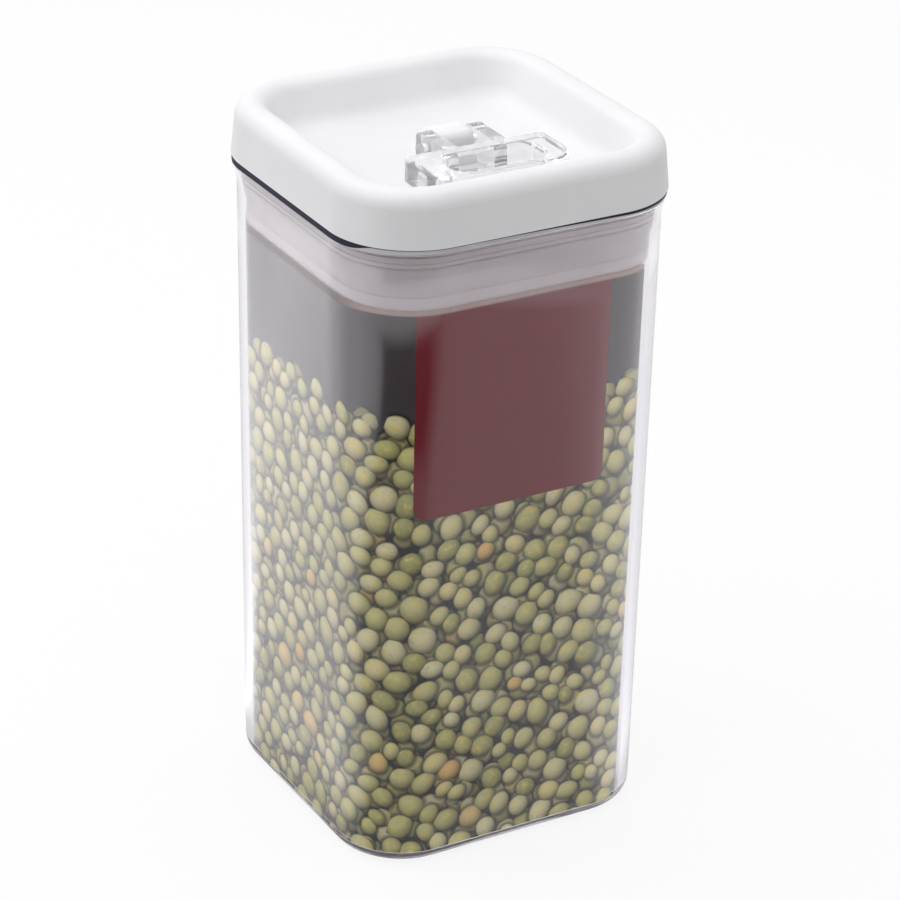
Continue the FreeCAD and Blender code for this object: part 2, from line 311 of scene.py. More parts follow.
@dataclass
class Effects:
    """Node groups that several finishes share, each built when it is first asked for."""

    grain_detail: float = 3.0
    flow_share: float = 0.018
    flow_detail: float = 4.0
    smear_scale: float = 46.0
    smear_detail: float = 5.0
    smear_range: Point = (0.48, 0.72)
    scratch_stretch: tuple[float, float, float] = (1.0, 1.0, 0.06)
    scratch_scale: float = 2200.0
    scratch_detail: float = 1.0
    scratch_range: Point = (0.70, 0.78)
    scratch_share: float = 0.6
    pea: PeaLook = field(default_factory=PeaLook)
    built: dict[str, bpy.types.NodeTree] = field(default_factory=dict)

    def place(
        self, graph: Graph, maker: Callable[[], bpy.types.NodeTree], feeds: dict[str, Feed],
    ) -> bpy.types.Node:
        """Put a shared group into a tree.

        Args:
            graph: Hand for the tree.
            maker: Method that builds the group.
            feeds: Values for its inputs.

        Returns:
            The group's node.
        """
        if maker.__name__ not in self.built:
            self.built[maker.__name__] = maker()
        node = graph.add("ShaderNodeGroup", node_tree=self.built[maker.__name__])
        for name, value in feeds.items():
            graph.fill(node.inputs[name], value)
        return node

    def moulded_skin(self) -> bpy.types.NodeTree:
        """Skin of a plastic moulding: fine grain, slow flow marks and an uneven gloss.

        Returns:
            The group, with outputs Height, Roughness and Tone.
        """
        graph, given, made = new_group(
            "moulded_skin",
            {"Point": "Vector", "Grain": "Float", "Gloss": "Float", "Spread": "Float"},
            {"Height": "Float", "Roughness": "Float", "Tone": "Float"},
        )
        point, waves = given.outputs["Point"], given.outputs["Grain"]
        grain = graph.noise(point, waves, self.grain_detail)
        flow = graph.noise(point, graph.calc("MULTIPLY", waves, self.flow_share), self.flow_detail)
        uneven = graph.calc("SUBTRACT", flow.outputs[0], HALF)
        rough = graph.calc("MULTIPLY_ADD", uneven, given.outputs["Spread"], given.outputs["Gloss"])
        graph.fill(made.inputs["Height"], grain.outputs[0])
        graph.fill(made.inputs["Roughness"], rough)
        graph.fill(made.inputs["Tone"], flow.outputs[0])
        return graph.tree

    def handling(self) -> bpy.types.NodeTree:
        """Faint smears and hair scratches that handling leaves on clear plastic.

        Returns:
            The group, with outputs Roughness and Height.
        """
        graph, given, made = new_group(
            "handling",
            {"Point": "Vector", "Gloss": "Float", "Smear": "Float"},
            {"Roughness": "Float", "Height": "Float"},
        )
        smear = graph.noise(given.outputs["Point"], self.smear_scale, self.smear_detail)
        patch = graph.remap(smear.outputs[0], self.smear_range)
        stretched = graph.vector("MULTIPLY", given.outputs["Point"], self.scratch_stretch)
        hair = graph.noise(stretched, self.scratch_scale, self.scratch_detail)
        scratch = graph.remap(hair.outputs[0], self.scratch_range)
        both = graph.calc("MULTIPLY_ADD", scratch, self.scratch_share, patch)
        rough = graph.calc("MULTIPLY_ADD", both, given.outputs["Smear"], given.outputs["Gloss"])
        graph.fill(made.inputs["Roughness"], rough)
        graph.fill(made.inputs["Height"], smear.outputs[0])
        return graph.tree

    def square_walls(self) -> bpy.types.NodeTree:
        """Normals that run evenly round a square with round corners, where the facets' own have a kink.

        Returns:
            The group, with output Normal in the piece's own coordinates.
        """
        graph, given, made = new_group(
            "square_walls",
            {"Point": "Vector", "Facing": "Vector", "Core": "Vector", "Ease": "Float"},
            {"Normal": "Vector"},
        )
        point, facing, ease = (given.outputs[name] for name in ("Point", "Facing", "Ease"))
        beyond = graph.vector("SUBTRACT", graph.vector("ABSOLUTE", point), given.outputs["Core"])
        along = graph.vector("ADD", graph.scaled(beyond, graph.calc("DIVIDE", HALF, ease)), HALVES)
        along = graph.vector("MINIMUM", graph.vector("MAXIMUM", along), ONES)
        eased = graph.scaled(graph.vector("MULTIPLY", along, along), ease)
        reach = graph.vector("MAXIMUM", beyond, eased)
        outward = graph.vector("NORMALIZE", graph.vector("MULTIPLY", reach, graph.vector("SIGN", point)))
        rise = graph.part(facing, "Z")
        drop = graph.calc("MULTIPLY", rise, -1.0)
        level = graph.calc("MAXIMUM", graph.calc("MULTIPLY_ADD", rise, drop, 1.0), 0.0)
        side = graph.calc("SIGN", graph.measure("DOT_PRODUCT", facing, outward))
        flat = graph.scaled(outward, graph.calc("MULTIPLY", graph.calc("SQRT", level), side))
        upright = graph.add("ShaderNodeCombineXYZ", {"Z": rise}).outputs["Vector"]
        graph.fill(made.inputs["Normal"], graph.vector("ADD", flat, upright))
        return graph.tree

    def pea_layer(self) -> bpy.types.NodeTree:
        """One printed layer of dried peas, lit from above on the print.

        Returns:
            The group, with outputs Colour, Reach, which is 1 at a pea's edge, and Centre, its height.
        """
        graph, given, made = new_group(
            "pea_layer",
            {"Point": "Vector", "Pitch": "Float", "Turn": "Float"},
            {"Colour": "Color", "Reach": "Float", "Centre": "Float"},
        )
        pea = self.pea
        point, pitch, turn = (given.outputs[name] for name in ("Point", "Pitch", "Turn"))
        back = graph.calc("MULTIPLY", turn, -1.0)
        moved = graph.scaled(pea.shuffle, turn)
        lattice = graph.turned(graph.scaled(point, graph.calc("DIVIDE", 1.0, pitch)), turn)
        shuffled = graph.vector("ADD", lattice, moved)
        cloud = graph.noise(shuffled, pea.drift_scale, pea.drift_detail)
        drift = graph.vector("SUBTRACT", cloud.outputs["Color"], HALVES)
        cells = graph.vector("ADD", shuffled, graph.scaled(drift, pea.drift_reach))
        near, room = (
            graph.add("ShaderNodeTexVoronoi", {"Vector": cells, "Scale": 1.0, "Randomness": pea.disorder},
                      voronoi_dimensions="2D", feature=feature)
            for feature in ("F1", "N_SPHERE_RADIUS")
        )
        chance = graph.add("ShaderNodeSeparateColor", {"Color": near.outputs["Color"]})
        offset = graph.turned(graph.vector("SUBTRACT", cells, near.outputs["Position"]), back)
        local = graph.scaled(offset, graph.calc("DIVIDE", pea.room_share, room.outputs["Radius"]))
        lying = graph.calc("MULTIPLY", chance.outputs["Green"], FULL_TURN)
        reach = graph.measure("LENGTH", graph.vector("MULTIPLY", graph.turned(local, lying), pea.oval))
        flank = graph.calc("MULTIPLY", reach, reach)
        crown = graph.calc("SQRT", graph.calc("MAXIMUM", graph.calc("SUBTRACT", 1.0, flank), 0.0))
        up = graph.calc("MULTIPLY", graph.part(local, "Y"), pea.light_up)
        slope = graph.calc("MULTIPLY_ADD", graph.part(local, "X"), pea.light_across, up)
        light = graph.calc("MULTIPLY_ADD", crown, pea.light_crown, slope)
        shade = graph.remap(light, pea.light_range, pea.shade_range)
        gleam = graph.calc("POWER", graph.calc("MAXIMUM", light, 0.0), pea.gleam_power)
        gleam = graph.calc("MULTIPLY", gleam, pea.gleam_level)
        skin = graph.ramp(chance.outputs["Blue"], pea.skins)
        blotch = graph.noise(cells, pea.blotch_scale, pea.blotch_detail).outputs[0]
        warm = graph.mixed(graph.remap(blotch, pea.warm_blotch, pea.warm_share), skin, pea.warm_colour)
        cool = graph.mixed(graph.remap(blotch, pea.cool_blotch, pea.cool_share), warm, pea.cool_colour)
        lit = graph.vector("ADD", graph.scaled(cool, shade), graph.grey(gleam))
        unshuffled = graph.vector("SUBTRACT", near.outputs["Position"], moved)
        home = graph.scaled(graph.turned(unshuffled, back), pitch)
        graph.fill(made.inputs["Colour"], lit)
        graph.fill(made.inputs["Reach"], reach)
        graph.fill(made.inputs["Centre"], graph.part(home, "Y"))
        return graph.tree


effects = Effects()


def finish_surface(graph: Graph, shader: bpy.types.NodeSocket) -> None:
    """Join a shader to the material's output."""
    graph.add("ShaderNodeOutputMaterial", {"Surface": shader})


def own_point(graph: Graph) -> bpy.types.NodeSocket:
    """Give the place on the piece, in its own coordinates."""
    return graph.add("ShaderNodeTexCoord").outputs["Object"]


@dataclass(frozen=True)
class MouldedFinish:
    """Opaque moulded plastic or rubber."""

    name: str
    colour: Colour
    low_colour: Colour
    gloss: float = 0.36
    spread: float = 0.10
    grain: float = 2600.0
    grain_depth: float = 0.00002
    grain_strength: float = 0.25
    shine: float = 0.5
    softness: float = 0.0
    soft_reach: float = 0.0

    def material(self) -> bpy.types.Material:
        """Build the finish.

        Returns:
            The material.
        """
        material, graph = new_material(self.name)
        skin = effects.place(graph, effects.moulded_skin, {
            "Point": own_point(graph), "Grain": self.grain, "Gloss": self.gloss, "Spread": self.spread,
        })
        tone = graph.remap(skin.outputs["Tone"], NOISE_RANGE)
        bump = graph.add("ShaderNodeBump", {
            "Strength": self.grain_strength, "Distance": self.grain_depth, "Height": skin.outputs["Height"],
        })
        shader = graph.add("ShaderNodeBsdfPrincipled", {
            "Base Color": graph.mixed(tone, self.low_colour, self.colour),
            "Roughness": skin.outputs["Roughness"],
            "Normal": bump.outputs["Normal"],
            "Specular IOR Level": self.shine,
            "Subsurface Weight": self.softness,
            "Subsurface Radius": ONES,
            "Subsurface Scale": self.soft_reach,
        })
        finish_surface(graph, shader.outputs["BSDF"])
        return material


@dataclass(frozen=True)
class ClearFinish:
    """Clear polished plastic that lets the studio's lamps through, with an optional even milky haze and an
    optional band of painted shade at its foot.
    """

    name: str
    colour: Colour
    shade: Colour
    bend: float = 1.56
    gloss: float = 0.012
    smear: float = 0.035
    ripple: float = 0.000015
    ripple_strength: float = 0.05
    milk: float = 0.0
    haze_and_foot_shade_colour: Colour = (0.94, 0.94, 0.95)
    foot_painted_shade: float = 0.0
    foot_shade_band: Point = (0.0030, 0.0010)
    square_core: float = 0.0
    square_ease: float = 0.007

    def material(self) -> bpy.types.Material:
        """Build the finish.

        Returns:
            The material.
        """
        material, graph = new_material(self.name)
        wear = effects.place(graph, effects.handling, {
            "Point": own_point(graph), "Gloss": self.gloss, "Smear": self.smear,
        })
        bump = graph.add("ShaderNodeBump", {
            "Strength": self.ripple_strength, "Distance": self.ripple, "Height": wear.outputs["Height"],
        })
        if self.square_core:
            graph.fill(bump.inputs["Normal"], self.even_normal(graph))
        body = graph.add("ShaderNodeBsdfPrincipled", {
            "Base Color": self.colour,
            "Roughness": wear.outputs["Roughness"],
            "Normal": bump.outputs["Normal"],
            "IOR": self.bend,
            "Transmission Weight": 1.0,
        })
        cloud = graph.add("ShaderNodeBsdfPrincipled", {
            "Base Color": self.haze_and_foot_shade_colour, "Roughness": wear.outputs["Roughness"], "IOR": self.bend,
        })
        # Painted shade at the foot: below the band's upper height the clear wall turns into an opaque
        # lavender-grey, fully from its lower height down, for the dark line along the bottom edge; milk is
        # an even haze over the whole piece.
        height = graph.part(own_point(graph), "Z")
        share = graph.calc("MAXIMUM", graph.remap(height, self.foot_shade_band, (0.0, self.foot_painted_shade)), self.milk)
        veiled = graph.add("ShaderNodeMixShader", {
            0: share, 1: body.outputs["BSDF"], 2: cloud.outputs["BSDF"],
        })
        mirrored = graph.add("ShaderNodeFresnel", {"IOR": self.bend})
        passing = graph.add("ShaderNodeBsdfTransparent", {
            "Color": graph.mixed(mirrored.outputs["Fac"], self.shade, BLACK),
        })
        mix = graph.add("ShaderNodeMixShader", {
            0: graph.any_ray(Ray.SHADOW), 1: veiled.outputs["Shader"], 2: passing.outputs["BSDF"],
        })
        finish_surface(graph, mix.outputs["Shader"])
        return material

    def even_normal(self, graph: Graph) -> bpy.types.NodeSocket:
        """Work out the even normal of the square walls.

        Args:
            graph: Hand for the material's tree.

        Returns:
            The normal's socket, in the world's directions.
        """
        place = graph.add("ShaderNodeTexCoord")
        walls = effects.place(graph, effects.square_walls, {
            "Point": place.outputs["Object"], "Facing": place.outputs["Normal"],
            "Core": (self.square_core, self.square_core, 1.0), "Ease": self.square_ease,
        })
        turned = graph.add("ShaderNodeVectorTransform", {"Vector": walls.outputs["Normal"]},
                           vector_type="NORMAL", convert_from="OBJECT", convert_to="WORLD")
        return turned.outputs["Vector"]


@dataclass(frozen=True)
class SealFinish:
    """Seal rubber coloured with painted shade and light: dark along the sides, where the gap under the lid
    shows dark, paler where the front and the back are drawn in.
    """

    name: str = "seal_with_painted_gap_shade"
    # Colours of the painted gap shade and of the paler painted light in front.
    dark: Colour = (0.034, 0.030, 0.052)
    pale: Colour = (0.640, 0.620, 0.650)
    gloss: float = 0.60
    shine: float = 0.12
    grain: float = 2600.0
    spread: float = 0.1
    tones: Point = (0.9, 1.1)
    left_turn: Point = (-0.79, -0.97)
    left_share: float = 1.2
    front_run: Point = (-0.020, 0.050)
    front_shares: Point = (0.20, 0.80)
    edge_run: Point = (0.0, 0.1)

    def material(self, core: float, top: float, height: float) -> bpy.types.Material:
        """Build the finish.

        Args:
            core: Distance of the corners' centre lines from each centreline.
            top: Height of the seal's top edge.
            height: Height of its outward face.

        Returns:
            The material.
        """
        material, graph = new_material(self.name)
        point = own_point(graph)
        away = graph.vector("SUBTRACT", graph.vector("ABSOLUTE", point), (core, core, 1.0))
        reach = graph.vector("MAXIMUM", away)
        outward = graph.vector("NORMALIZE", graph.vector("MULTIPLY", reach, graph.vector("SIGN", point)))
        sideways = graph.part(outward, "X")
        left = graph.remap(sideways, self.left_turn, (self.front_shares[0], self.left_share))
        right = graph.remap(graph.part(point, "X"), self.front_run, self.front_shares)
        depth = graph.calc("DIVIDE", graph.calc("SUBTRACT", top, graph.part(point, "Z")), height)
        below = graph.calc("SUBTRACT", depth, graph.calc("MAXIMUM", left, right))
        skin = effects.place(graph, effects.moulded_skin, {
            "Point": point, "Grain": self.grain, "Gloss": self.gloss, "Spread": self.spread,
        })
        # Painted shade and light: dark down the whole left side and most of the way down on the right, but
        # on the front only along the top, below which it turns pale, so that the gap under the lid shows as
        # a dark line at the sides and a pale one in front.
        tone = graph.mixed(graph.remap(below, self.edge_run), self.dark, self.pale)
        shader = graph.add("ShaderNodeBsdfPrincipled", {
            "Base Color": graph.scaled(tone, graph.remap(skin.outputs["Tone"], NOISE_RANGE, self.tones)),
            "Roughness": skin.outputs["Roughness"],
            "Specular IOR Level": self.shine,
        })
        finish_surface(graph, shader.outputs["BSDF"])
        return material


@dataclass(frozen=True)
class BrightSteel:
    """Drawn steel with fine marks along the bar."""

    name: str = "bright_steel"
    colour: Colour = (0.62, 0.62, 0.64)
    mark_colour: Colour = (0.496, 0.496, 0.512)
    glosses: Point = (0.154, 0.286)
    marks: float = 3800.0
    mark_stretch: tuple[float, float, float] = (0.04, 1.0, 1.0)
    mark_range: Point = (0.2, 0.8)

    def material(self) -> bpy.types.Material:
        """Build the finish.

        Returns:
            The material.
        """
        material, graph = new_material(self.name)
        drawn = graph.vector("MULTIPLY", own_point(graph), self.mark_stretch)
        marks = graph.noise(drawn, self.marks).outputs[0]
        shader = graph.add("ShaderNodeBsdfPrincipled", {
            "Base Color": graph.mixed(marks, self.colour, self.mark_colour),
            "Metallic": 1.0,
            "Roughness": graph.remap(marks, self.mark_range, self.glosses),
        })
        finish_surface(graph, shader.outputs["BSDF"])
        return material


@dataclass(frozen=True)
class PeaPrint:
    """One layer of the printed heap."""

    turn: float
    share: float
    pitch: float = 0.0068


@dataclass(frozen=True)
class PrintedFinish:
    """Printed face of the card: peas below, a dark band above and a plain wine-red panel, with a strip of
    painted light and shade along its top edge: a pale highlight under the plug along the front and a brown
    shadow line on the left.
    """

    name: str = "printed_card"
    uv_name: str = "unrolled"
    band_colour: Colour = (0.088, 0.072, 0.076)
    ground_colour: Colour = (0.030, 0.026, 0.024)
    band_depth: float = 0.003
    panel_colour: Colour = (0.290, 0.015, 0.028)
    painted_highlight_colour: Colour = (0.720, 0.540, 0.500)
    painted_shadow_colour: Colour = (0.120, 0.046, 0.040)
    band_foot: float = 0.1345
    panel_left: float = -0.0331
    panel_right: float = 0.0236
    panel_foot: float = 0.1063
    panel_radius: float = 0.0030
    margin: float = 0.0017
    side_margin: float = 0.0026
    side_start: float = -0.0420
    side_full: float = -0.0620
    margin_edge: Point = (1.0, 0.55)
    layers: tuple[PeaPrint, ...] = (PeaPrint(2.2, 0.42), PeaPrint(1.3, 0.72), PeaPrint(0.45, 1.0))
    pea_edge: Point = (1.05, 0.86)
    shadow_run: Point = (1.45, 1.0)
    shadow_shares: Point = (0.0, 0.72)
    gloss: float = 0.22
    spread: float = 0.12
    paper_grain: float = 2400.0
    paper_depth: float = 0.00001
    paper_strength: float = 0.05
    ink_tones: Point = (0.93, 1.07)

    def peas(self, graph: Graph, point: bpy.types.NodeSocket) -> bpy.types.NodeSocket:
        """Print the layers of peas on the dark ground, as high as the band's foot.

        Args:
            graph: Hand for the material's tree.
            point: Place on the unrolled card.

        Returns:
            The colour's socket.
        """
        height = graph.part(point, "Y")
        banded = graph.calc("GREATER_THAN", height, self.band_foot - self.band_depth)
        picture = graph.mixed(banded, self.ground_colour, self.band_colour)
        for layer in self.layers:
            print_node = effects.place(graph, effects.pea_layer, {
                "Point": point, "Pitch": layer.pitch, "Turn": layer.turn,
            })
            reach = print_node.outputs["Reach"]
            heap = graph.calc("LESS_THAN", print_node.outputs["Centre"], self.band_foot)
            shadow = graph.calc("MULTIPLY", heap, graph.remap(reach, self.shadow_run, self.shadow_shares))
            cover = graph.calc("MULTIPLY", heap, graph.remap(reach, self.pea_edge))
            shaded = graph.mixed(shadow, picture, self.ground_colour)
            pea = graph.mixed(layer.share, self.ground_colour, print_node.outputs["Colour"])
            picture = graph.mixed(cover, shaded, pea)
        return picture

    def panel(self, graph: Graph, point: bpy.types.NodeSocket, top: float) -> bpy.types.NodeSocket:
        """Mask of the plain panel, a tall box with round lower corners.

        Args:
            graph: Hand for the material's tree.
            point: Place on the unrolled card.
            top: Height of the card's top edge.

        Returns:
            Socket that is 1 on the panel.
        """
        half_width = (self.panel_right - self.panel_left) / 2
        half_height = top - self.panel_foot
        middle = ((self.panel_left + self.panel_right) / 2, self.panel_foot + half_height, 0.0)
        away = graph.vector("ABSOLUTE", graph.vector("SUBTRACT", point, middle))
        inner = (half_width - self.panel_radius, half_height - self.panel_radius, 1.0)
        beyond = graph.vector("MAXIMUM", graph.vector("SUBTRACT", away, inner))
        return graph.calc("LESS_THAN", graph.measure("LENGTH", beyond), self.panel_radius)

    def material(self, top: float) -> bpy.types.Material:
        """Build the finish.

        Args:
            top: Height of the card's top edge.

        Returns:
            The material.
        """
        material, graph = new_material(self.name)
        point = graph.add("ShaderNodeUVMap", uv_map=self.uv_name).outputs["UV"]
        picture = graph.mixed(self.panel(graph, point, top), self.peas(graph, point), self.panel_colour)
        # Painted highlight and shadow along the top edge, under the plug: a thin pale strip on the front
        # for the plug's lit lower edge, widening into a dark brown shadow line on the left side.
        aside = graph.remap(graph.part(point, "X"), (self.side_start, self.side_full))
        margin = graph.calc("MULTIPLY_ADD", aside, self.side_margin - self.margin, self.margin)
        depth = graph.calc("DIVIDE", graph.calc("SUBTRACT", top, graph.part(point, "Y")), margin)
        painted_strip_share = graph.remap(depth, self.margin_edge)
        edged = graph.mixed(painted_strip_share, picture, graph.mixed(aside, self.painted_highlight_colour, self.painted_shadow_colour))
        skin = effects.place(graph, effects.moulded_skin, {
            "Point": own_point(graph), "Grain": self.paper_grain, "Gloss": self.gloss,
            "Spread": self.spread,
        })
        ink = graph.scaled(edged, graph.remap(skin.outputs["Height"], NOISE_RANGE, self.ink_tones))
        bump = graph.add("ShaderNodeBump", {
            "Strength": self.paper_strength, "Distance": self.paper_depth,
            "Height": skin.outputs["Height"],
        })
        shader = graph.add("ShaderNodeBsdfPrincipled", {
            "Base Color": ink,
            "Roughness": graph.calc("MAXIMUM", skin.outputs["Roughness"], painted_strip_share),
            "Normal": bump.outputs["Normal"],
        })
        finish_surface(graph, shader.outputs["BSDF"])
        return material


WHITE_PLASTIC = MouldedFinish("white_plastic", (0.86, 0.86, 0.875), (0.83, 0.83, 0.845))
INNER_PLASTIC = MouldedFinish(
    "white_inner_plastic", (0.96, 0.880, 0.900), (0.93, 0.850, 0.870), gloss=0.30,
)
POST_PLASTIC = MouldedFinish(
    "translucent_white", (0.90, 0.90, 0.915), (0.87, 0.87, 0.885), softness=1.0, soft_reach=0.004,
)
PALE_SILICONE = MouldedFinish(
    "pale_silicone", (0.96, 0.875, 0.895), (0.93, 0.845, 0.865), gloss=0.42, softness=0.3,
    soft_reach=0.002,
)
DARK_SEAL = MouldedFinish(
    "dark_seal", (0.034, 0.030, 0.052), (0.026, 0.023, 0.040), gloss=0.60, shine=0.12,
)
CARD_BOARD = MouldedFinish(
    "card_board", (0.74, 0.72, 0.69), (0.66, 0.64, 0.61), gloss=0.70, grain=4200.0,
)
# The jar's foot carries a lavender-grey band of painted shade.
CLEAR_PLASTIC = ClearFinish(
    "clear_plastic", (0.950, 0.947, 0.960), WHITE, haze_and_foot_shade_colour=(0.70, 0.63, 0.72), foot_painted_shade=0.7,
    square_core=CORNER_CORE,
)
CLEAR_RING = ClearFinish(
    "clear_ring", (0.945, 0.942, 0.955), (0.95, 0.95, 0.955), bend=1.42, gloss=0.03, milk=0.12,
)
BRIGHT_STEEL = BrightSteel()


@dataclass
class Bench:
    """Modelling by hand: sections drawn as edges, then swept round the square's corners and sides."""

    core: float = CORNER_CORE
    corner_steps: int = 28
    least_steps: int = 2
    smooth_angle: float = math.radians(35)
    seed_size: float = 0.01
    merge_reach: float = 0.000002

    def start(self, name: str, first: Vector) -> bpy.types.Object:
        """Start a piece as one point in edit mode.

        Args:
            name: Name of the piece.
            first: Place of the point.

        Returns:
            The piece.
        """
        bpy.ops.object.select_all(action="DESELECT")
        bpy.ops.mesh.primitive_plane_add(size=self.seed_size, location=ORIGIN)
        piece = bpy.context.object
        piece.name = piece.data.name = name
        bpy.ops.object.mode_set(mode="EDIT")
        bpy.ops.mesh.select_mode(type="VERT")
        bpy.ops.mesh.select_all(action="SELECT")
        bpy.ops.mesh.merge(type="CENTER")
        bpy.ops.transform.translate(value=first)
        return piece

    def draw(self, name: str, section: Sequence[Point], corner: Point, bearing: float) -> bpy.types.Object:
        """Draw a closed upright section beside a corner.

        Args:
            name: Name of the piece.
            section: Points as (across, up), measured outwards from the corner's centre line.
            corner: Signs of the corner's place, in x and y.
            bearing: Direction that the section faces, turned from +X.

        Returns:
            The piece, in edit mode with the section selected.
        """
        places = [
            Vector((corner[0] * self.core + across * math.cos(bearing),
                    corner[1] * self.core + across * math.sin(bearing), up))
            for across, up in section
        ]
        piece = self.start(name, places[0])
        for here, there in zip(places, places[1:]):
            bpy.ops.mesh.extrude_region_move(TRANSFORM_OT_translate={"value": there - here})
        ends = {0, len(places) - 1}
        self.select(piece, lambda vertex: vertex.index in ends)
        bpy.ops.mesh.edge_face_add()
        bpy.ops.mesh.select_all(action="SELECT")
        return piece

    def select(self, piece: bpy.types.Object, test: Callable[[bpy.types.MeshVertex], bool]) -> None:
        """Select only the points that pass a test, in edit mode.

        Args:
            piece: Piece in edit mode.
            test: Says whether a point is wanted.
        """
        bpy.ops.mesh.select_all(action="DESELECT")
        bpy.ops.object.mode_set(mode="OBJECT")
        for vertex in piece.data.vertices:
            vertex.select = test(vertex)
        bpy.ops.object.mode_set(mode="EDIT")

    def turn(self, corner: Point, angle: float) -> None:
        """Sweep the selected section round a corner.

        Args:
            corner: Signs of the corner's place, in x and y.
            angle: How far to turn, anticlockwise from above.
        """
        steps = max(self.least_steps, round(self.corner_steps * angle / QUARTER_TURN))
        centre = (corner[0] * self.core, corner[1] * self.core, 0.0)
        bpy.ops.mesh.spin(steps=steps, angle=angle, center=centre, axis=DOWN, dupli=False)

    def run(self, direction: Point) -> None:
        """Sweep the selected section along one side, towards the direction's signs in x and y."""
        step = (2 * self.core * direction[0], 2 * self.core * direction[1], 0.0)
        bpy.ops.mesh.extrude_region_move(TRANSFORM_OT_translate={"value": step})

    def ring(self, name: str, section: Sequence[Point]) -> bpy.types.Object:
        """Sweep a closed section all round the square.

        Args:
            name: Name of the piece.
            section: Points as (across, up) from the corners' centre lines.

        Returns:
            The finished piece.
        """
        piece = self.draw(name, section, (1.0, 1.0), 0.0)
        corners = ((1.0, 1.0), (-1.0, 1.0), (-1.0, -1.0), (1.0, -1.0))
        sides = ((-1.0, 0.0), (0.0, -1.0), (1.0, 0.0), (0.0, 1.0))
        for corner, side in zip(corners, sides):
            self.turn(corner, QUARTER_TURN)
            self.run(side)
        return self.close(piece)

    def close(self, piece: bpy.types.Object) -> bpy.types.Object:
        """Merge doubled points, point the faces outwards and smooth the round stretches.

        Args:
            piece: Piece in edit mode.

        Returns:
            The piece, in object mode.
        """
        bpy.ops.mesh.select_all(action="SELECT")
        bpy.ops.mesh.remove_doubles(threshold=self.merge_reach)
        bpy.ops.mesh.normals_make_consistent(inside=False)
        bpy.ops.object.mode_set(mode="OBJECT")
        bpy.ops.object.shade_smooth_by_angle(angle=self.smooth_angle)
        return piece


bench = Bench()


def rounded(corners: Sequence[tuple[float, float, float]], steps: int = 6) -> list[Point]:
    """Turn (across, up, radius) corners into points, with an arc at each round corner.

    Args:
        corners: Corners in order round the section.
        steps: Parts in each arc.

    Returns:
        The section's points.
    """
    points: list[Point] = []
    for i, (across, up, radius) in enumerate(corners):
        here = Vector((across, up))
        if radius == 0:
            points.append((across, up))
            continue
        back = (Vector(corners[i - 1][:2]) - here).normalized()
        ahead = (Vector(corners[(i + 1) % len(corners)][:2]) - here).normalized()
        half_angle = back.angle(ahead) / 2
        centre = here + (back + ahead).normalized() * (radius / math.sin(half_angle))
        run = radius / math.tan(half_angle)
        first = here + back * run - centre
        sweep = math.pi - 2 * half_angle
        sense = -math.copysign(1.0, back.x * ahead.y - back.y * ahead.x)
        for k in range(steps + 1):
            turn = Matrix.Rotation(sense * sweep * k / steps, 2)
            place = centre + turn @ first
            points.append((place.x, place.y))
    return points


def dress(node: str, finish: bpy.types.Material) -> None:
    """Give a carried-over node its finish.

    Args:
        node: Name of the node.
        finish: Its material.
    """
    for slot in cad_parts[node].material_slots:
        slot.material = finish
    log.info("node %s wears %s", node, finish.name)


@dataclass
class PrintedCard:
    """Card inside the jar that lines the left and front walls, up to the lid's plug."""

    thickness: float = 0.00030
    wall_gap: float = 0.00005
    solid_gap: float = 0.0005
    plug_lap: float = 0.0016
    lean_reach: float = 0.0016
    lean_height: float = 0.1785
    wrap: float = 0.012
    right_wrap: float = 0.0092
    outward_limit: float = 0.5
    finish: PrintedFinish = field(default_factory=PrintedFinish)

    def build(self) -> bpy.types.Object:
        """Sweep the card along its two walls and print it.

        Returns:
            The card.
        """
        low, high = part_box("label_card")
        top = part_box("pressure_plate")[0].z + self.plug_lap
        outer = -low.x - bench.core + self.solid_gap - self.wall_gap
        lean = self.lean_reach / self.lean_height
        head = outer + lean * (top - high.z)
        foot = outer - lean * (high.z - low.z)
        section = [
            (foot - self.thickness, low.z), (foot, low.z), (head, top), (head - self.thickness, top),
        ]
        angle = self.wrap / outer
        card = bench.draw("printed_card", section, (-1.0, 1.0), math.pi - angle)
        bpy.ops.mesh.edge_face_add()
        bpy.ops.mesh.select_all(action="SELECT")
        bench.turn((-1.0, 1.0), angle)
        bench.run((0.0, -1.0))
        bench.turn((-1.0, -1.0), QUARTER_TURN)
        bench.run((1.0, 0.0))
        bench.turn((1.0, -1.0), self.right_wrap / outer)
        bench.close(card)
        self.unroll(card, outer)
        self.print_on(card, top)
        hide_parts("label_card")
        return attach(card, "jar")

    def unroll(self, card: bpy.types.Object, radius: float) -> None:
        """Lay the card out flat in its own map, in metres from the middle of the front.

        Args:
            card: The card.
            radius: Radius of its corners.
        """
        core = bench.core
        layer = card.data.uv_layers.new(name=self.finish.uv_name)
        for loop in card.data.loops:
            x, y, z = card.data.vertices[loop.vertex_index].co
            left, front = max(0.0, -core - x), max(0.0, -core - y)
            right, behind = max(0.0, x - core), max(0.0, y - core)
            along = min(max(x, -core), core) - min(max(y + core, 0.0), 2 * core)
            turned = math.atan2(right, front) - math.atan2(left, front) - math.atan2(behind, left)
            along += radius * turned
            layer.data[loop.index].uv = (along, z)

    def print_on(self, card: bpy.types.Object, top: float) -> None:
        """Give the outward faces the print and the rest plain board.

        Args:
            card: The card.
            top: Height of its top edge.
        """
        card.data.materials.append(self.finish.material(top))
        card.data.materials.append(CARD_BOARD.material())
        core = bench.core
        for face in card.data.polygons:
            x, y, _ = face.center
            out = Vector((min(0.0, x + core) + max(0.0, x - core),
                          min(0.0, y + core) + max(0.0, y - core), 0.0))
            outward = max(face.normal.dot(out.normalized()), face.normal.z)
            face.material_index = 0 if outward > self.outward_limit else 1


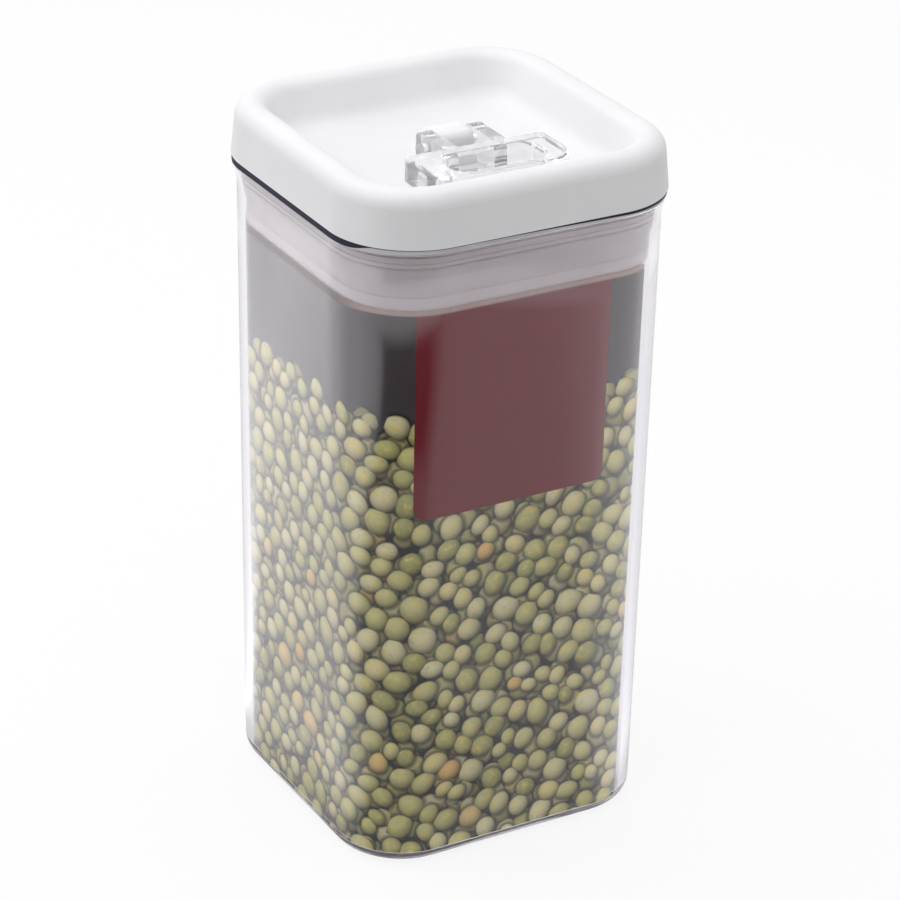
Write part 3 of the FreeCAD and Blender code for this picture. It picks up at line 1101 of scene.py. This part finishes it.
@dataclass
class SqueezeGasket:
    """Soft band between the lid's base and the pressure plate."""

    thickness: float = 0.0042
    upper_radius: float = 0.0008
    lower_radius: float = 0.0002

    def build(self, finish: bpy.types.Material) -> bpy.types.Object:
        """Sweep the band between the lid and the plunger.

        Args:
            finish: Its material.

        Returns:
            The band.
        """
        low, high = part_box("seal_gasket")
        outer = high.x - bench.core
        inner = outer - self.thickness
        section = rounded([
            (inner, low.z, 0.0),
            (outer, low.z, self.lower_radius),
            (outer, high.z, self.upper_radius),
            (inner, high.z, 0.0),
        ])
        band = bench.ring("squeeze_gasket", section)
        band.data.materials.append(finish)
        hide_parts("seal_gasket")
        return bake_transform(band)


@dataclass
class RimSeal:
    """A dark seal, a sheet of painted shade in the line between lid and jar, with a thin lip over the rim
    on the left and right that widens the dark line there.
    """

    lid_setback: float = 0.00006
    lip_thickness: float = 0.00020
    lip_drop: float = 0.0006
    front_draw: float = 0.0004
    leg: float = 0.0009
    inner_reach: float = 0.01988
    ledge_reach: float = 0.0211
    slack: float = 0.00002
    side_gain: float = 1.04
    side_power: int = 5

    def build(self, finish: SealFinish) -> bpy.types.Object:
        """Sweep the seal all round and draw its lip in along the front and the back.

        Args:
            finish: Its finish.

        Returns:
            The seal.
        """
        low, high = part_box("rim_seal")
        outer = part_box("lid_cover")[1].x - bench.core - self.lid_setback
        lip_inner = outer - self.lip_thickness
        top = high.z - self.slack
        lip = low.z - self.lip_drop
        ledge = low.z + self.leg - self.slack
        seal = bench.ring("rim_gap_shade_band", [
            (self.inner_reach, low.z), (lip_inner, low.z), (lip_inner, lip), (outer, lip), (outer, top),
            (self.ledge_reach, top), (self.ledge_reach, ledge), (self.inner_reach, ledge),
        ])
        self.draw_in(seal, lip_inner, low.z)
        seal.data.materials.append(finish.material(bench.core, top, top - low.z))
        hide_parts("rim_seal")
        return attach(seal, "lid")

    def draw_in(self, seal: bpy.types.Object, lip_reach: float, rim: float) -> None:
        """Move the lip's points up and inwards where they face the front or the back.

        Args:
            seal: The seal.
            lip_reach: Reach of the lip's inner face from the corners' centre lines.
            rim: Height of the jar's rim.
        """
        core = bench.core
        for vertex in seal.data.vertices:
            x, y, z = vertex.co
            middle = Vector((min(max(x, -core), core), min(max(y, -core), core)))
            out = Vector((x, y)) - middle
            if out.length < lip_reach - self.slack:
                continue
            side = min(1.0, abs(out.x) / out.length * self.side_gain) ** self.side_power
            place = middle + out * (1 - self.front_draw * (1 - side) / out.length)
            vertex.co = (place.x, place.y, rim + (z - rim) * side if z < rim else z)


@dataclass(frozen=True)
class Lamp:
    """One square studio lamp: where it hangs, what it points at, its side and its power in watts."""

    name: str
    place: tuple[float, float, float]
    aim: tuple[float, float, float]
    size: float
    power: float
    mirrored: bool = True

    def hang(self) -> None:
        """Hang the lamp, out of the camera's sight."""
        light = bpy.data.lights.new(self.name, "AREA")
        light.shape = "SQUARE"
        light.size = self.size
        light.energy = self.power
        hung = bpy.data.objects.new(self.name, light)
        hung.location = self.place
        beam = Vector(self.aim) - Vector(self.place)
        hung.rotation_euler = beam.to_track_quat("-Z", "Y").to_euler()
        hung.visible_camera = False
        hung.visible_glossy = self.mirrored
        bpy.context.scene.collection.objects.link(hung)


@dataclass
class Studio:
    """Plain pale floor, soft lamps, a glowing ring of card that only the clear walls show, painting their
    glare and dark reflections, and the camera.
    """

    camera_azimuth: float = math.radians(-29.78)
    camera_elevation: float = math.radians(26.9)
    camera_roll: float = math.radians(1.23)
    camera_distance: float = 0.9786
    target_height: float = 0.0885
    lens: float = 141.5
    shift: Point = (0.0102, 0.0424)
    floor_size: float = 8.0
    floor_white: float = 0.98
    floor_bounce: float = 0.52
    floor_glow_share: float = 0.86
    sky_level: float = 0.58
    lamps: tuple[Lamp, ...] = (
        Lamp("overhead", (-0.18, 0.14, 1.10), (0.0, 0.0, 0.15), 1.5, 7.6),
        Lamp("side_panel", (-0.62, 0.52, 0.55), (0.0, 0.0, 0.16), 0.45, 1.0, mirrored=False),
    )
    card_steps: int = 48
    card_near: float = 0.047
    card_far: float = 2.0
    card_rim: float = 0.075
    card_rim_level: float = 0.50
    card_veil: float = 0.34
    card_veil_run: Point = (0.265, 0.312)
    card_neck: float = 0.95
    card_neck_start: Point = (0.374, 0.400)
    card_neck_end: Point = (0.442, 0.420)
    card_slide: float = math.radians(22)
    card_slide_start: Point = (0.09, 0.17)
    card_slide_end: Point = (0.20, 0.36)
    card_slide_stop: float = math.radians(22)
    card_lift: float = 0.0004
    card_peak: float = 1.6
    card_tint: Colour = (0.985, 0.972, 1.0)
    # Levels of the card's painted glare by direction in degrees from the front, for the corner and for the
    # walls.
    corner_levels: tuple[Point, ...] = (
        (-180.0, 1.04), (-90.0, 1.04), (-72.0, 0.90), (-64.0, 0.62), (-59.0, 0.10), (-54.0, 0.05),
        (-4.0, 0.05), (14.0, 0.50), (29.0, 0.52), (34.0, 1.05), (70.0, 1.02), (100.0, 0.85), (180.0, 0.85),
    )
    wall_levels: tuple[Point, ...] = (
        (-180.0, 0.82), (-172.0, 0.90), (-156.0, 0.98), (-151.0, 1.20), (-147.5, 1.46), (-144.5, 1.25),
        (-142.0, 1.07), (-139.0, 0.96), (-134.8, 0.88), (-128.0, 0.86), (-112.0, 0.86), (-100.0, 1.00),
        (180.0, 1.00),
    )

    def build(self) -> None:
        """Set up the stage."""
        self.set_world()
        self.lay_floor()
        for lamp in self.lamps:
            lamp.hang()
        self.lay_glare_glow_card()
        self.set_camera()
        bpy.context.scene.view_settings.view_transform = "Standard"

    def set_world(self) -> None:
        """White behind the canister, and a softer level that lights it."""
        world = bpy.data.worlds.new("studio")
        bpy.context.scene.world = world
        world.use_nodes = True
        world.node_tree.nodes.clear()
        graph = Graph(world.node_tree)
        soft = graph.add("ShaderNodeBackground", {"Color": WHITE, "Strength": self.sky_level})
        white = graph.add("ShaderNodeBackground", {"Color": WHITE, "Strength": 1.0})
        seen = graph.any_ray(Ray.CAMERA, Ray.GLOSSY, Ray.TRANSMISSION)
        mix = graph.add("ShaderNodeMixShader", {0: seen, 1: soft.outputs[0], 2: white.outputs[0]})
        graph.add("ShaderNodeOutputWorld", {"Surface": mix.outputs[0]})

    def lay_floor(self) -> None:
        """Lay a pale floor that looks white and keeps a faint shadow."""
        bpy.ops.object.select_all(action="DESELECT")
        bpy.ops.mesh.primitive_plane_add(size=self.floor_size)
        floor = bpy.context.object
        floor.name = "studio_floor"
        material, graph = new_material("floor_white")
        seen = graph.any_ray(Ray.CAMERA, Ray.GLOSSY, Ray.TRANSMISSION)
        tone = graph.mixed(seen, (self.floor_bounce,) * 3, (self.floor_white,) * 3)
        paper = graph.add("ShaderNodeBsdfDiffuse", {"Color": tone})
        glow = graph.add("ShaderNodeEmission", {"Color": WHITE, "Strength": 1.0})
        share = graph.calc("MULTIPLY", seen, self.floor_glow_share)
        mix = graph.add("ShaderNodeMixShader", {0: share, 1: paper.outputs[0], 2: glow.outputs[0]})
        finish_surface(graph, mix.outputs[0])
        floor.data.materials.append(material)

    def lay_glare_glow_card(self) -> None:
        """Lay a glowing ring of card on the floor that only clear walls show, as painted reflections and
        glare: bright at the left, dark in front.
        """
        near, far, lift = self.card_near, self.card_far, self.card_lift
        card = bench.start("glare_glow_card", Vector((0.0, near, lift)))
        bpy.ops.mesh.extrude_region_move(TRANSFORM_OT_translate={"value": (0.0, far - near, 0.0)})
        bpy.ops.mesh.select_all(action="SELECT")
        bpy.ops.mesh.spin(steps=self.card_steps, angle=FULL_TURN, center=ORIGIN, axis=DOWN, dupli=False)
        bench.close(card)
        material, graph = new_material("glare_glow_card")
        point = own_point(graph)
        distance = graph.measure("LENGTH", point)
        tone = self.card_tone(graph, point, distance)
        rim = graph.remap(distance, (self.card_rim, near))
        shown = graph.mixed(rim, tone, (self.card_rim_level,) * 3)
        # Painted reflections: the card glows though it is no lamp, and neither the camera nor diffuse light
        # sees it, so it only paints glare and dark reflections on the clear walls and on what is seen
        # through them.
        glow = graph.add("ShaderNodeEmission", {
            "Color": graph.vector("MULTIPLY", shown, self.card_tint), "Strength": 1.0,
        })
        finish_surface(graph, glow.outputs[0])
        card.data.materials.append(material)
        card.visible_camera = card.visible_shadow = card.visible_diffuse = False

    def card_tone(
        self, graph: Graph, point: bpy.types.NodeSocket, distance: bpy.types.NodeSocket,
    ) -> bpy.types.NodeSocket:
        """Grade the card's painted glare by direction, with a veil of painted glare near the foot and
        another for the neck.

        Args:
            graph: Hand for the card's tree.
            point: Place on the card.
            distance: Distance of that place from the canister's middle.

        Returns:
            The tone's socket.
        """
        behind = graph.part(point, "Y")
        azimuth = graph.calc("ARCTAN2", graph.part(point, "X"), graph.calc("MULTIPLY", behind, -1.0))
        slide = graph.calc("MULTIPLY", graph.remap(distance, self.card_slide_end, (self.card_slide, 0.0)),
                           graph.remap(distance, self.card_slide_start))
        slid = graph.calc("MINIMUM", graph.calc("ADD", azimuth, slide), self.card_slide_stop)
        slid = graph.calc("MAXIMUM", azimuth, slid)
        corner = self.graded(graph, slid, self.corner_levels)
        wall = self.graded(graph, azimuth, self.wall_levels)
        foot = graph.remap(distance, self.card_veil_run, (self.card_veil, 0.0))
        neck = graph.calc("MULTIPLY", graph.remap(distance, self.card_neck_start, (0.0, self.card_neck)),
                          graph.remap(distance, self.card_neck_end))
        veil = graph.grey(graph.calc("MAXIMUM", foot, neck))
        return graph.vector("MAXIMUM", graph.vector("MULTIPLY", corner, wall), veil)

    def graded(self, graph: Graph, azimuth: Feed, levels: Sequence[Point]) -> bpy.types.NodeSocket:
        """Turn an azimuth into a level of light.

        Args:
            graph: Hand for the material's tree.
            azimuth: Direction in radians, from the front.
            levels: Directions in degrees and their levels.

        Returns:
            The level's socket.
        """
        share = graph.calc("MULTIPLY_ADD", azimuth, 1 / FULL_TURN, HALF)
        stops = [
            (HALF + math.radians(degrees) / FULL_TURN, (level / self.card_peak,) * 3)
            for degrees, level in levels
        ]
        return graph.scaled(graph.ramp(share, stops), self.card_peak)

    def set_camera(self) -> None:
        """Stand the camera where the picture was taken from."""
        azimuth, elevation, roll = self.camera_azimuth, self.camera_elevation, self.camera_roll
        back = Vector((math.sin(azimuth) * math.cos(elevation), -math.cos(azimuth) * math.cos(elevation),
                       math.sin(elevation)))
        right = Vector((math.cos(azimuth), math.sin(azimuth), 0.0))
        up = back.cross(right)
        rolled_right = right * math.cos(roll) + up * math.sin(roll)
        rolled_up = up * math.cos(roll) - right * math.sin(roll)
        lens = bpy.data.cameras.new("camera")
        lens.lens = self.lens
        lens.shift_x, lens.shift_y = self.shift
        camera = bpy.data.objects.new("camera", lens)
        turn = Matrix((rolled_right, rolled_up, back)).transposed().to_4x4()
        place = Vector((0.0, 0.0, self.target_height)) + back * self.camera_distance
        camera.matrix_world = Matrix.Translation(place) @ turn
        bpy.context.scene.collection.objects.link(camera)
        bpy.context.scene.camera = camera


def main() -> None:
    """Build every piece in order, dress the solids and set up the studio."""
    logging.basicConfig(level=logging.INFO, format="%(message)s")
    white, inner = WHITE_PLASTIC.material(), INNER_PLASTIC.material()
    seal, steel = DARK_SEAL.material(), BRIGHT_STEEL.material()
    dress("container_body", CLEAR_PLASTIC.material())
    dress("flip_ring", CLEAR_RING.material())
    worn = {
        "lid_cover": white, "lid_base": inner, "pressure_plate": inner, "plate_cap": inner,
        "pull_rod": POST_PLASTIC.material(), "rod_seal": seal, "plate_screw": steel, "pivot_pin": steel,
    }
    for node, finish in worn.items():
        dress(node, finish)
    log.info("piece %s", PrintedCard().build().name)
    log.info("piece %s", RimSeal().build(SealFinish()).name)
    log.info("piece %s", SqueezeGasket().build(PALE_SILICONE.material()).name)
    Studio().build()


if __name__ == "__main__":
    main()
